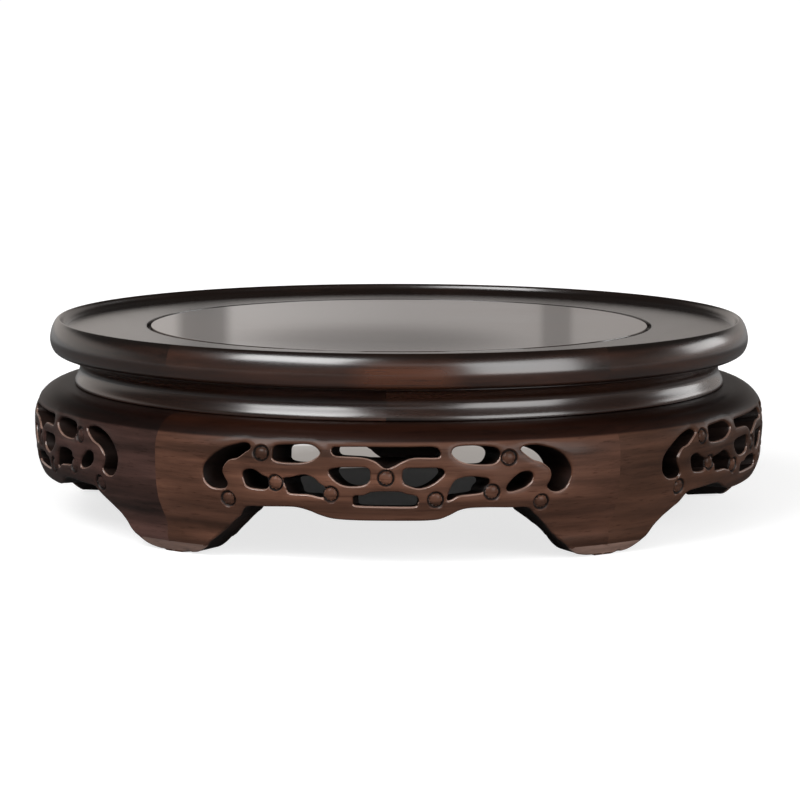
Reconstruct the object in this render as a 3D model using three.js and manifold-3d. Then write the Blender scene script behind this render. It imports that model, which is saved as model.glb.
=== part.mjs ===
// Round carved hardwood stand for a vase, on five short legs joined by pierced aprons.
// Millimetres, +Z up. The soles stand on z = 0, the axis is Z, and one apron faces -Y.

import * as THREE from "three";
import { mergeVertices } from "three/addons/utils/BufferGeometryUtils.js";
import Module from "manifold-3d";

const wasm = await Module();
wasm.setup();

// Overall form
const LEG_COUNT = 5;
const BELLY_RADIUS = 120;
const APRON_HEIGHT = 42.6;
const WAIST_HEIGHT = 9.8;
const FRAME_THICKNESS = 8.6;
const LIP_HEIGHT = 3;

// Apron and leg ring
const WALL = 18.4;
const SHOULDER_ROUND = 9.7;
const BELLY_FLAT = 3.4;
const ANKLE_Z = 16.4;
const ANKLE_INSET = 1.7;
const TOE_HEIGHT = 9;
const TOE_INSET = 5.7;
const SOLE_INSET = 8.4;
const DROP_Z = 14.6;
const DROP_WIDTH = 36;
const DROP_STEP = 8;
const ARCH_TOP_Z = 18.3;
const LEG_WIDTH = 62;
const SOLE_WIDTH = 15;
const LEG_PLAIN_WIDTH = 34;
const FRET_BOTTOM_Z = 18.7;
const FRET_TOP_MARGIN = 5.3;

// Waist ring
const WAIST_SETBACK = 14.8;
const WAIST_WALL = 13;
const WAIST_FLARE = 1.1;
const COVE_REACH = 3.8;
const COVE_HEIGHT = 4.3;
const SPIGOT_DEPTH = 4.2;

// Rim frame
const RIM_OVERHANG = 9.4;
const FRAME_WIDTH = 31.5;
const RIM_BULGE_HEIGHT = 5.1;
const RIM_UNDER_ROUND = 4.2;
const RIM_TOP_ROUND = 3.6;
const LIP_SLOPE = 2;

// Panel and batten
const PANEL_GAP = 0.8;
const PANEL_THICKNESS = 7.6;
const TONGUE_LENGTH = 4.8;
const TONGUE_THICKNESS = 2.8;
const TONGUE_COVER = 3.1;
const BATTEN_WIDTH = 12;
const BATTEN_THICKNESS = 5;
const BATTEN_END_GAP = 2.1;
const KEY_MOUTH = 8;
const KEY_TOP = 10;
const KEY_DEPTH = 2;

// Splines and dowels
const SPLINE_WIDTH = 14;
const SPLINE_LENGTH = 14;
const SPLINE_THICKNESS = 2.4;
const LEG_DOWEL_RADIUS = 2.5;
const LEG_DOWEL_LENGTH = 20;
const LEG_DOWEL_LOW_Z = 12.5;
const LEG_DOWEL_DROP = 11.6;
const RIM_DOWEL_RADIUS = 2.5;
const RIM_DOWEL_LENGTH = 11;

// Fits and facets
const GAP = 0.3;
const FACETS = 60;
const DOWEL_SIDES = 8;
const SMALL_CORNER = 2.6;

// The fret, drawn flat for the right half of an apron: a corner is its distance from the centre line,
// its height above the lowest opening, and how far back its rounding starts.
const SIDE_OPENINGS = [
  [[18.8, 16.9, 1.2], [22.6, 12.6, 4], [35, 12.7, 2.6], [34.7, 18.6, 2.4], [21.6, 18.6, 1.6]],
  [[17.9, 1.9, 1.2], [23, 3.3, 2.5], [30.6, 3.3, 2], [31.9, 8.6, 1.6], [22.4, 9.5, 2.4], [17.4, 5.1, 2]],
  [[4.5, 6.3, 2.6], [10.5, 5.4, 3], [16, 7.7, 2.4], [18.4, 11.9, 2], [4.7, 11.9, 1.6]],
  [[36.2, 3.9, 1.2], [42.2, 4, 1.8], [45.7, 7.4, 2], [44.6, 10.6, 2], [38.8, 9.6, 2], [35.2, 6.3, 1.8]],
  [
    [40.6, 18, 0.8], [41.6, 16, 1.4], [44.6, 13.8, 2], [49.4, 12.7, 2.4], [51.6, 9.2, 2.2], [49.6, 6.4, 1.2],
    [49, 3.8, 1.4], [53.6, 2.9, 3], [57.9, 5.4, 3.5], [58.4, 10.8, 4.5], [55, 15.8, 4], [47.5, 18.4, 3],
  ],
];
const CENTRE_HALVES = [
  [[0, 11.5, 0.3], [7.5, 14.9, 2.5], [16.6, 15, 1.6], [16.6, 18.4, 2]],
  [[9.8, 0, 1.6], [10.1, 3.3, 1], [6.2, 3.5, 0.8], [3.4, 4.6, 1]],
];

// Heights, radii and angles that follow from the sizes above
const frameZ = APRON_HEIGHT + WAIST_HEIGHT;
const platformZ = frameZ + FRAME_THICKNESS;
const crestZ = platformZ + LIP_HEIGHT;
const wallRadius = BELLY_RADIUS - WALL;
const bellyZ = APRON_HEIGHT - SHOULDER_ROUND - BELLY_FLAT;
const highDowelZ = APRON_HEIGHT - LEG_DOWEL_DROP;
const waistRadius = BELLY_RADIUS - WAIST_SETBACK;
const waistInnerRadius = waistRadius - WAIST_WALL;
const waistTopZ = frameZ - GAP;
const rimRadius = waistRadius + RIM_OVERHANG;
const frameInnerRadius = rimRadius - FRAME_WIDTH;
const panelRadius = frameInnerRadius - PANEL_GAP;
const panelZ = platformZ - PANEL_THICKNESS;
const tongueTopZ = platformZ - TONGUE_COVER;
const tongueRadius = panelRadius + TONGUE_LENGTH;
const segmentAngle = (2 * Math.PI) / LEG_COUNT;
const facetAngle = (2 * Math.PI) / FACETS;
const jointTrim = GAP / 2 / BELLY_RADIUS;
const halfArc = (BELLY_RADIUS * segmentAngle) / 2;

// Angles are measured from the front, -Y, and grow towards +X.
function polar(radius, angle, z) {
  return [radius * Math.sin(angle), -radius * Math.cos(angle), z];
}

// A profile point: radius and height
function at(radius, height) {
  return new THREE.Vector2(radius, height);
}

// Points along a quarter, or part, of an ellipse
function bend(centreRadius, centreZ, reach, height, from, to, steps) {
  const curve = new THREE.EllipseCurve(centreRadius, centreZ, reach, height, from, to, to < from);
  return curve.getPoints(steps);
}

// A solid for cutting and joining, from a closed geometry
function toSolid(geometry) {
  const bare = geometry.clone();
  bare.deleteAttribute("normal");
  bare.deleteAttribute("uv");
  const merged = mergeVertices(bare, 1e-4);
  const triangles = [];
  for (let i = 0; i < merged.index.count; i += 3) {
    const [a, b, c] = [0, 1, 2].map((corner) => merged.index.getX(i + corner));
    if (a !== b && b !== c && c !== a) triangles.push(a, b, c);
  }
  return new wasm.Manifold(new wasm.Mesh({
    numProp: 3,
    vertProperties: new Float32Array(merged.attributes.position.array),
    triVerts: new Uint32Array(triangles),
  }));
}

function toGeometry(solid) {
  const mesh = solid.getMesh();
  const indexed = new THREE.BufferGeometry();
  indexed.setAttribute("position", new THREE.BufferAttribute(mesh.vertProperties, 3));
  indexed.setIndex(new THREE.BufferAttribute(mesh.triVerts, 1));
  const geometry = indexed.toNonIndexed();
  geometry.computeVertexNormals();
  return geometry;
}

function cut(solid, cutters) {
  return cutters.reduce((rest, cutter) => rest.subtract(cutter), solid);
}

// One segment of a ring, centred on the front. The profile is a closed outline, anticlockwise.
function ringSegment(profile) {
  const from = jointTrim - segmentAngle / 2;
  const sweep = segmentAngle - 2 * jointTrim;
  const steps = Math.max(1, Math.round(sweep / facetAngle));
  const count = profile.length;
  const positions = [];
  const index = [];
  for (let i = 0; i <= steps; i++) {
    for (const point of profile) positions.push(...polar(point.x, from + (sweep * i) / steps, point.y));
  }
  for (let i = 0; i < steps; i++) {
    for (let j = 0; j < count; j++) {
      const a = i * count + j;
      const b = i * count + ((j + 1) % count);
      index.push(a, b + count, b);
      index.push(a, a + count, b + count);
    }
  }
  const last = steps * count;
  for (const [a, b, c] of THREE.ShapeUtils.triangulateShape(profile, [])) {
    index.push(a, b, c);
    index.push(last + a, last + c, last + b);
  }
  const geometry = new THREE.BufferGeometry();
  geometry.setAttribute("position", new THREE.Float32BufferAttribute(positions, 3));
  geometry.setIndex(index);
  return toSolid(geometry);
}

// A closed outline with each corner rounded off
function roundedOutline(corners) {
  const count = corners.length;
  const outline = [];
  corners.forEach(([x, y, reach], i) => {
    const corner = at(x, y);
    const before = at(...corners[(i + count - 1) % count].slice(0, 2));
    const after = at(...corners[(i + 1) % count].slice(0, 2));
    const start = corner.clone().lerp(before, Math.min(0.5, reach / corner.distanceTo(before)));
    const end = corner.clone().lerp(after, Math.min(0.5, reach / corner.distanceTo(after)));
    const steps = reach < SMALL_CORNER ? 1 : 2;
    outline.push(...new THREE.QuadraticBezierCurve(start, corner, end).getPoints(steps));
  });
  return outline.filter((point, i) => point.distanceTo(outline[(i + 1) % outline.length]) > 1e-3);
}

// A block that passes through the wall, from an outline drawn flat: the distance round the belly from
// the apron's centre, and the height.
function throughBlock(outline) {
  const inner = BELLY_RADIUS / 2;
  const depth = BELLY_RADIUS * 0.8;
  return new THREE.ExtrudeGeometry(new THREE.Shape(outline), { depth, bevelEnabled: false })
    .rotateX(Math.PI / 2)
    .translate(0, -inner, 0);
}

// A saw cut square to the wall at its own place
function sawCutter(outline) {
  const across = outline.map((point) => point.x);
  const middle = (Math.min(...across) + Math.max(...across)) / 2;
  const centred = outline.map((point) => at(point.x - middle, point.y));
  return toSolid(throughBlock(centred).rotateZ(middle / BELLY_RADIUS));
}

// A cut whose sides all run along radii
function radialCutter(outline) {
  const block = throughBlock(outline);
  const position = block.attributes.position;
  for (let i = 0; i < position.count; i++) {
    const angle = position.getX(i) / BELLY_RADIUS;
    position.setXYZ(i, ...polar(-position.getY(i), angle, position.getZ(i)));
  }
  return toSolid(block);
}

// Profiles

// The belly bulges under a rounded shoulder, draws in at the ankle and stands out again at the toe.
function apronProfile() {
  const toeRadius = BELLY_RADIUS - TOE_INSET;
  const foot = new THREE.SplineCurve([
    at(BELLY_RADIUS - SOLE_INSET, 0),
    at(BELLY_RADIUS - (SOLE_INSET + 3 * TOE_INSET) / 4, TOE_HEIGHT / 3),
    at(toeRadius, (2 * TOE_HEIGHT) / 3),
    at(toeRadius, TOE_HEIGHT),
    at(BELLY_RADIUS - (TOE_INSET + ANKLE_INSET) / 2, (TOE_HEIGHT + ANKLE_Z) / 2),
    at(BELLY_RADIUS - ANKLE_INSET, ANKLE_Z),
  ]);
  const roundRadius = BELLY_RADIUS - SHOULDER_ROUND;
  const roundZ = APRON_HEIGHT - SHOULDER_ROUND;
  const shoulder = bend(roundRadius, roundZ, SHOULDER_ROUND, SHOULDER_ROUND, 0, Math.PI / 2, 3);
  return [
    at(wallRadius, 0),
    ...foot.getPoints(6),
    at(BELLY_RADIUS, bellyZ),
    ...shoulder,
    at(wallRadius, APRON_HEIGHT),
  ];
}

// A plain neck flares a little at its foot and meets the frame in a cove. Its inner part reaches down
// inside the apron ring.
function waistProfile() {
  const footZ = APRON_HEIGHT + GAP;
  const coveZ = waistTopZ - COVE_HEIGHT;
  const coveRadius = waistRadius + COVE_REACH;
  const spigotRadius = wallRadius - GAP;
  return [
    at(waistInnerRadius, footZ - SPIGOT_DEPTH),
    at(spigotRadius, footZ - SPIGOT_DEPTH),
    at(spigotRadius, footZ),
    at(waistRadius + WAIST_FLARE, footZ),
    at(waistRadius + WAIST_FLARE / 3, (footZ + coveZ) / 2),
    ...bend(coveRadius, coveZ, COVE_REACH, COVE_HEIGHT, Math.PI, Math.PI / 2, 3),
    at(waistInnerRadius, waistTopZ),
  ];
}

// The rim's edge is a full moulding that ends above in a narrow raised lip. A groove inside takes the
// panel's tongue.
function rimProfile() {
  const bulgeZ = frameZ + RIM_BULGE_HEIGHT;
  const crestRadius = rimRadius - RIM_TOP_ROUND;
  const underRadius = rimRadius - RIM_UNDER_ROUND;
  const under = bend(underRadius, bulgeZ, RIM_UNDER_ROUND, RIM_BULGE_HEIGHT, -Math.PI / 2, 0, 3);
  const over = bend(crestRadius, bulgeZ, RIM_TOP_ROUND, crestZ - bulgeZ, 0, Math.PI / 2, 4);
  const slope = bend(crestRadius, platformZ, LIP_SLOPE, LIP_HEIGHT, Math.PI / 2, Math.PI, 2);
  return [
    at(frameInnerRadius, frameZ),
    ...under,
    ...over.slice(1),
    ...slope.slice(1),
    at(frameInnerRadius, platformZ),
    at(frameInnerRadius, tongueTopZ + GAP),
    at(tongueRadius + GAP, tongueTopZ + GAP),
    at(tongueRadius + GAP, tongueTopZ - TONGUE_THICKNESS - GAP),
    at(frameInnerRadius, tongueTopZ - TONGUE_THICKNESS - GAP),
  ];
}

// Splines and dowels, each with the cutter for its hole. They are modelled at the front joint and turned
// to where they go.

function spline(clearance) {
  const blank = new THREE.BoxGeometry(
    SPLINE_LENGTH + 2 * clearance,
    SPLINE_WIDTH + 2 * clearance,
    SPLINE_THICKNESS + 2 * clearance,
  );
  return blank.translate(0, -(tongueRadius + GAP + rimRadius) / 2, (frameZ + platformZ) / 2);
}

function dowel(radius, length, clearance) {
  const side = radius + clearance;
  return new THREE.CylinderGeometry(side, side, length + 2 * clearance, DOWEL_SIDES);
}

function legDowel(z, clearance) {
  const middle = (wallRadius + BELLY_RADIUS - TOE_INSET) / 2;
  return dowel(LEG_DOWEL_RADIUS, LEG_DOWEL_LENGTH, clearance)
    .rotateZ(Math.PI / 2)
    .translate(0, -middle, z);
}

function rimDowel(clearance) {
  const middle = (waistInnerRadius + waistRadius) / 2;
  return dowel(RIM_DOWEL_RADIUS, RIM_DOWEL_LENGTH, clearance)
    .rotateX(Math.PI / 2)
    .translate(0, -middle, frameZ);
}

// A cutter turned to one or both ends of a segment
function turned(geometry, angle) {
  return toSolid(geometry.clone().rotateZ(angle));
}

const sides = [-1, 1];
const legDowelHeights = [LEG_DOWEL_LOW_Z, highDowelZ];

// Segments

function mirrored(corners) {
  return corners.map(([x, y, reach]) => [-x, y, reach]).reverse();
}

// The drawn fret, stretched to fill the field between two plain legs
function fretOutlines() {
  const drawn = [...SIDE_OPENINGS, ...CENTRE_HALVES].flat();
  const drawnHalfWidth = Math.max(...drawn.map(([x]) => x));
  const drawnHeight = Math.max(...drawn.map(([, y]) => y));
  const across = (halfArc - LEG_PLAIN_WIDTH / 2) / drawnHalfWidth;
  const up = (APRON_HEIGHT - FRET_TOP_MARGIN - FRET_BOTTOM_Z) / drawnHeight;
  const centres = CENTRE_HALVES.map((half) => {
    const onAxis = half[0][0] === 0;
    return [...half, ...mirrored(onAxis ? half.slice(1) : half)];
  });
  const openings = [...SIDE_OPENINGS, ...SIDE_OPENINGS.map(mirrored), ...centres];
  return openings.map((corners) => roundedOutline(corners)
    .map((point) => at(point.x * across, FRET_BOTTOM_Z + point.y * up)));
}

// The open arch under an apron: a shallow drop in the middle, then the curved sides of two feet
function archOutline() {
  const dropEnd = DROP_WIDTH / 2;
  const legSide = halfArc - LEG_WIDTH / 2;
  const soleSide = halfArc - SOLE_WIDTH / 2;
  const run = soleSide - legSide;
  const ogee = new THREE.CubicBezierCurve(
    at(dropEnd, DROP_Z),
    at(dropEnd + DROP_STEP / 2, DROP_Z),
    at(dropEnd + DROP_STEP / 2, ARCH_TOP_Z),
    at(dropEnd + DROP_STEP, ARCH_TOP_Z),
  );
  const foot = new THREE.SplineCurve([
    at(legSide, ARCH_TOP_Z),
    at(legSide + run * 0.06, ARCH_TOP_Z * 0.83),
    at(legSide + run * 0.22, ARCH_TOP_Z * 0.67),
    at(legSide + run * 0.41, ARCH_TOP_Z * 0.5),
    at(legSide + run * 0.58, ARCH_TOP_Z * 0.34),
    at(legSide + run * 0.67, ARCH_TOP_Z * 0.22),
    at(legSide + run * 0.8, ARCH_TOP_Z * 0.09),
    at(soleSide, 0),
  ]);
  const half = [...ogee.getPoints(3), ...foot.getPoints(7), at(soleSide, -DROP_Z)];
  const otherHalf = half.map((point) => at(-point.x, point.y)).reverse();
  return [...otherHalf, ...half];
}

function apronBlock() {
  const cutters = fretOutlines().map(sawCutter);
  cutters.push(radialCutter(archOutline()));
  for (const side of sides) {
    for (const z of legDowelHeights) cutters.push(turned(legDowel(z, GAP), (side * segmentAngle) / 2));
  }
  return toGeometry(cut(ringSegment(apronProfile()), cutters));
}

function waistSegment() {
  const holes = sides.map((side) => turned(rimDowel(GAP), (side * segmentAngle) / 4));
  return toGeometry(cut(ringSegment(waistProfile()), holes));
}

function rimSegment() {
  const cutters = sides.flatMap((side) => [
    turned(rimDowel(GAP), (side * segmentAngle) / 4),
    turned(spline(GAP), (side * segmentAngle) / 2),
  ]);
  return toGeometry(cut(ringSegment(rimProfile()), cutters));
}

// Panel and batten

// The key's dovetail section, from below the panel's underside to inside the panel
function keyGeometry(length, clearance) {
  const mouth = KEY_MOUTH / 2 + clearance;
  const top = KEY_TOP / 2 + clearance;
  const section = new THREE.Shape([
    at(-mouth, panelZ - GAP - BATTEN_THICKNESS / 2),
    at(mouth, panelZ - GAP - BATTEN_THICKNESS / 2),
    at(mouth, panelZ),
    at(top, panelZ + KEY_DEPTH + clearance),
    at(-top, panelZ + KEY_DEPTH + clearance),
    at(-mouth, panelZ),
  ]);
  return new THREE.ExtrudeGeometry(section, { depth: length, bevelEnabled: false })
    .rotateX(Math.PI / 2)
    .translate(0, length / 2, 0);
}

function panel() {
  const blank = new THREE.LatheGeometry([
    at(0, panelZ),
    at(panelRadius, panelZ),
    at(panelRadius, tongueTopZ - TONGUE_THICKNESS),
    at(tongueRadius, tongueTopZ - TONGUE_THICKNESS),
    at(tongueRadius, tongueTopZ),
    at(panelRadius, tongueTopZ),
    at(panelRadius, platformZ),
    at(0, platformZ),
  ], FACETS).rotateX(Math.PI / 2);
  const groove = toSolid(keyGeometry(2.5 * panelRadius, GAP));
  return toGeometry(toSolid(blank).subtract(groove));
}

function batten() {
  const top = frameZ - GAP;
  const barLength = 2 * (waistInnerRadius - BATTEN_END_GAP);
  const bar = new THREE.BoxGeometry(BATTEN_WIDTH, barLength, BATTEN_THICKNESS)
    .translate(0, 0, top - BATTEN_THICKNESS / 2);
  const keyLength = 2 * Math.sqrt(panelRadius ** 2 - (KEY_TOP / 2) ** 2) - 2 * GAP;
  return toGeometry(toSolid(bar).add(toSolid(keyGeometry(keyLength, 0))));
}

// Finishes
function wood(color, roughness) {
  return new THREE.MeshStandardMaterial({ color, roughness, metalness: 0 });
}

const rimWood = wood(0x34251f, 0.2);
const waistWood = wood(0x2c1f1c, 0.2);
const apronWood = wood(0x442f26, 0.3);
const panelWood = wood(0x342522, 0.15);
const innerWood = wood(0x73543b, 0.8);

// Assembly
const stand = new THREE.Group();

function add(name, geometry, material, angle = 0) {
  const mesh = new THREE.Mesh(geometry, material);
  mesh.name = name;
  mesh.rotation.z = angle;
  stand.add(mesh);
}

function addRound(name, geometry, material, offset) {
  for (let i = 0; i < LEG_COUNT; i++) {
    add(`${name}_${i + 1}`, geometry.clone(), material.clone(), offset + i * segmentAngle);
  }
}

addRound("apron_leg_block", apronBlock(), apronWood, 0);
addRound("waist_segment", waistSegment(), waistWood, segmentAngle / 2);
addRound("rim_segment", rimSegment(), rimWood, 0);
addRound("rim_spline", spline(0), innerWood, segmentAngle / 2);
addRound("leg_dowel_low", legDowel(LEG_DOWEL_LOW_Z, 0), innerWood, segmentAngle / 2);
addRound("leg_dowel_high", legDowel(highDowelZ, 0), innerWood, segmentAngle / 2);
addRound("rim_dowel_left", rimDowel(0), innerWood, -segmentAngle / 4);
addRound("rim_dowel_right", rimDowel(0), innerWood, segmentAngle / 4);
add("centre_panel", panel(), panelWood);
add("panel_batten", batten(), innerWood);

export default stand;
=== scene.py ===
"""Carved hardwood vase stand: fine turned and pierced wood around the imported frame, in metres."""

import math

import bpy
import numpy as np
from mathutils import Euler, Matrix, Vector
from mathutils.geometry import delaunay_2d_cdt


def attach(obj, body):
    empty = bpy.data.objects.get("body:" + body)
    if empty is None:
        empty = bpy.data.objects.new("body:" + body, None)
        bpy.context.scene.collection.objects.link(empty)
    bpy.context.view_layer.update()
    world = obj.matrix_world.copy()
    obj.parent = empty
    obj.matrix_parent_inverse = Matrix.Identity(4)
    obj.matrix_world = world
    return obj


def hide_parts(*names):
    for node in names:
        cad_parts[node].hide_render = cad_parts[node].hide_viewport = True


MM = 0.001
LEGS = 5
SEGMENT = 2 * math.pi / LEGS

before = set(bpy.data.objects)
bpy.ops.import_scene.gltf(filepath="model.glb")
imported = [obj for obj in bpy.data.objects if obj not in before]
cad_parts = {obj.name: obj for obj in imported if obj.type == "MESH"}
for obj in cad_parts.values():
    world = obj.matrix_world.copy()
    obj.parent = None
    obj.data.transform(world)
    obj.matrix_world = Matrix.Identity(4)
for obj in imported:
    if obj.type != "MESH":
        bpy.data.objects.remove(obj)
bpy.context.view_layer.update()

# Sizes in millimetres
BELLY_RADIUS = 120.0
WALL_RADIUS = 101.6
SHOULDER_CENTRE = (110.27, 32.9)
SHOULDER_ROUND = 9.7
APRON_HEIGHT = 42.6
WAIST_FOOT_Z = 42.9
WAIST_INNER_RADIUS = 92.2
SPIGOT_RADIUS = 101.3
SPIGOT_Z = 38.7
WAIST_TOP_Z = 52.1
FRAME_Z = 52.4
PLATFORM_Z = 61.0
FRAME_INNER_RADIUS = 83.15
PANEL_RADIUS = 81.75
PANEL_Z = 53.4
TONGUE_RADIUS = 87.1
TONGUE_LOW_Z = 55.1
TONGUE_HIGH_Z = 57.9
GAP = 0.3
KEY_MOUTH = 8.0
KEY_TOP = 10.0
KEY_DEPTH = 2.0
EDGE_EASE = 0.18

# The width of the seams between glued segments
SEAM = 0.004

# Steps round a segment and round the panel, the angle in degrees from which an edge is sharp, and the
# distance within which points are joined
SEGMENT_STEPS = 60
PANEL_STEPS = 300
SHARP = 35
WELD = 0.001


# Curves

def smooth_curve(points, spacing, closed=False):
    """Points at an even spacing on a Catmull-Rom curve through the given ones."""
    p = np.array(points, float)
    count = len(p)
    if closed:
        knots = np.vstack([p[-1], p, p[0], p[1]])
        spans = count
    else:
        knots = np.vstack([2 * p[0] - p[1], p, 2 * p[-1] - p[-2]])
        spans = count - 1
    dense = []
    for i in range(spans):
        a, b, c, d = knots[i:i + 4]
        t = np.linspace(0, 1, 12, endpoint=False)[:, None]
        dense.append(0.5 * (2 * b + (c - a) * t + (2 * a - 5 * b + 4 * c - d) * t ** 2
                            + (3 * b - a - 3 * c + d) * t ** 3))
    dense.append(p[:1] if closed else p[-1:])
    dense = np.vstack(dense)
    return even(dense, spacing, closed)


def even(line, spacing, closed=False):
    """The same line cut into equal steps."""
    steps = np.hypot(*np.diff(line, axis=0).T)
    length = np.concatenate([[0], np.cumsum(steps)])
    count = max(3, int(round(length[-1] / spacing)))
    at = np.linspace(0, length[-1], count + 1)
    out = np.column_stack([np.interp(at, length, line[:, k]) for k in (0, 1)])
    return out[:-1] if closed else out


def arc(centre, radius, start, end, count):
    """Points on a circle, angles in degrees."""
    a = np.radians(np.linspace(start, end, count))
    return np.column_stack([centre[0] + radius * np.cos(a), centre[1] + radius * np.sin(a)])


def inside(points, polygon):
    """Which points lie inside a closed polygon."""
    x, y = points[:, 0][:, None], points[:, 1][:, None]
    ax, ay = polygon[:, 0][None], polygon[:, 1][None]
    bx, by = np.roll(polygon[:, 0], -1)[None], np.roll(polygon[:, 1], -1)[None]
    crosses = (ay > y) != (by > y)
    with np.errstate(divide="ignore", invalid="ignore"):
        at = ax + (y - ay) * (bx - ax) / (by - ay)
    return (crosses & (x < at)).sum(axis=1) % 2 == 1


def distance(points, line, closed):
    """Distance from each point to a line of points."""
    a = line
    b = np.roll(line, -1, axis=0)
    if not closed:
        a, b = line[:-1], line[1:]
    best = np.full(len(points), 1e9)
    for start in range(0, len(points), 4000):
        p = points[start:start + 4000, None, :]
        d = (b - a)[None]
        t = np.clip(((p - a[None]) * d).sum(-1) / (d ** 2).sum(-1), 0, 1)
        gap = p - (a[None] + t[..., None] * d)
        best[start:start + 4000] = np.sqrt((gap ** 2).sum(-1)).min(axis=1)
    return best


def polar(radius, angle, z):
    """Angles are measured from the front, -Y, towards +X."""
    return np.column_stack([radius * np.sin(angle), -radius * np.cos(angle), z])


# Materials

def node(tree, kind, **values):
    made = tree.nodes.new(kind)
    for name, value in values.items():
        setattr(made, name, value)
    return made


def ramp(tree, stops):
    made = node(tree, "ShaderNodeValToRGB")
    elements = made.color_ramp.elements
    while len(elements) < len(stops):
        elements.new(0.5)
    for element, (at, colour) in zip(elements, stops):
        element.position = at
        element.color = (*colour, 1)
    return made


def noise(tree, vector, detail, stretch, offset):
    """Noise of a feature size set by stretch, features per metre along x, y and z."""
    mapping = node(tree, "ShaderNodeMapping")
    mapping.inputs["Location"].default_value = offset
    mapping.inputs["Scale"].default_value = stretch
    tree.links.new(vector, mapping.inputs["Vector"])
    made = node(tree, "ShaderNodeTexNoise")
    made.inputs["Scale"].default_value = 1.0
    made.inputs["Detail"].default_value = detail
    made.inputs["Roughness"].default_value = 0.6
    tree.links.new(mapping.outputs["Vector"], made.inputs["Vector"])
    return made.outputs["Fac"]


def mix(tree, factor, a, b, blend="MIX"):
    made = node(tree, "ShaderNodeMix", data_type="RGBA", blend_type=blend)
    for socket, value in ((made.inputs[0], factor), (made.inputs[6], a), (made.inputs[7], b)):
        if isinstance(value, bpy.types.NodeSocket):
            tree.links.new(value, socket)
        elif isinstance(value, float):
            socket.default_value = value
        else:
            socket.default_value = (*value, 1)
    return made.outputs[2]


def maths(tree, operation, *values, clamp=False):
    made = node(tree, "ShaderNodeMath", operation=operation, use_clamp=clamp)
    for socket, value in zip(made.inputs, values):
        if isinstance(value, bpy.types.NodeSocket):
            tree.links.new(value, socket)
        else:
            socket.default_value = value
    return made.outputs[0]


def fall(tree, value, low, high, start=0.0, end=1.0):
    """A smooth step of the value between low and high, from start to end."""
    made = node(tree, "ShaderNodeMapRange", interpolation_type="SMOOTHSTEP")
    made.inputs["From Min"].default_value = low
    made.inputs["From Max"].default_value = high
    made.inputs["To Min"].default_value = start
    made.inputs["To Max"].default_value = end
    tree.links.new(value, made.inputs["Value"])
    return made.outputs["Result"]


# Painted shade laid over the wood, as factors of its colour, and where it starts and is full, in millimetres:
# above a height on the aprons' shoulder, under the rim's overhang, and inwards of a radius on the rim
SHOULDER_PAINTED_SHADE = (0.16, 0.11, 0.09)
SHOULDER_SHADE_Z = 37.9
SHOULDER_SHADE_FADE = (-0.3, 0.5)
LIP_PAINTED_SHADE = (0.3, 0.35, 0.36)
LIP_SHADE_RADII = (114.0, 113.0)

# The rim's reddish streak, in millimetres: its middle to the right of the centre line, half its width, its
# soft edge, how far the edge wanders, and the heights between which it weakens towards the top
STREAK_CENTRE = 7
STREAK_HALF = 10
STREAK_SOFT = 9
STREAK_WANDER = 12
STREAK_HEIGHTS = (59.8, 61.8)
STREAK_STRENGTH = (0.75, 0.2)


def wood(name, dark, mid, light, seed, turn=0.0, roughness=0.22, coat=0.6, coat_roughness=0.1,
         bump=0.15, patch=None, shaded_above=0.0, specular=0.5):
    """Dark close-grained hardwood under lacquer. The grain runs along local x, turned by an angle.

    A patch changes the colour of part of the board. Above the height shaded_above the wood gets a painted
    shade.
    """
    material = bpy.data.materials.new(name)
    material.use_nodes = True
    tree = material.node_tree
    links = tree.links
    shader = tree.nodes["Principled BSDF"]
    place = node(tree, "ShaderNodeTexCoord")
    turned = node(tree, "ShaderNodeMapping")
    turned.inputs["Rotation"].default_value = (0, 0, -turn)
    links.new(place.outputs["Object"], turned.inputs["Vector"])
    local = turned.outputs["Vector"]
    shift = (seed * 3.7, seed * 1.9, seed * 5.3)
    streaks = noise(tree, local, 5, (6, 40, 260), shift)
    bands = noise(tree, local, 2, (3, 12, 75), shift)
    pores = noise(tree, local, 3, (60, 350, 1700), shift)
    tone = maths(tree, "ADD", maths(tree, "MULTIPLY", streaks, 0.55), maths(tree, "MULTIPLY", bands, 0.45))
    colours = ramp(tree, [(0.38, dark), (0.5, mid), (0.63, light)])
    links.new(tone, colours.inputs["Fac"])
    colour = colours.outputs["Color"]
    if patch:
        colour = patch(tree, local, streaks, colour)
    # Painted shade on the shoulder's top, which lies under the rim's overhang
    if shaded_above:
        height = node(tree, "ShaderNodeSeparateXYZ")
        links.new(place.outputs["Object"], height.inputs["Vector"])
        start, full = ((shaded_above + step) * MM for step in SHOULDER_SHADE_FADE)
        shade = fall(tree, height.outputs["Z"], start, full)
        painted_shade = mix(tree, 1.0, colour, SHOULDER_PAINTED_SHADE, "MULTIPLY")
        colour = mix(tree, shade, colour, painted_shade)
    pore_mask = ramp(tree, [(0.30, (0.6, 0.55, 0.52)), (0.42, (1, 1, 1))])
    links.new(pores, pore_mask.inputs["Fac"])
    colour = mix(tree, 1.0, colour, pore_mask.outputs["Color"], "MULTIPLY")
    links.new(colour, shader.inputs["Base Color"])
    rough = maths(tree, "ADD", roughness - 0.05, maths(tree, "MULTIPLY", streaks, 0.12))
    links.new(rough, shader.inputs["Roughness"])
    shader.inputs["Specular IOR Level"].default_value = specular
    shader.inputs["Coat Weight"].default_value = coat
    shader.inputs["Coat Roughness"].default_value = coat_roughness
    bumped = node(tree, "ShaderNodeBump")
    bumped.inputs["Strength"].default_value = bump
    bumped.inputs["Distance"].default_value = 0.05 * MM
    links.new(pores, bumped.inputs["Height"])
    links.new(bumped.outputs["Normal"], shader.inputs["Normal"])
    return material


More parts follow.
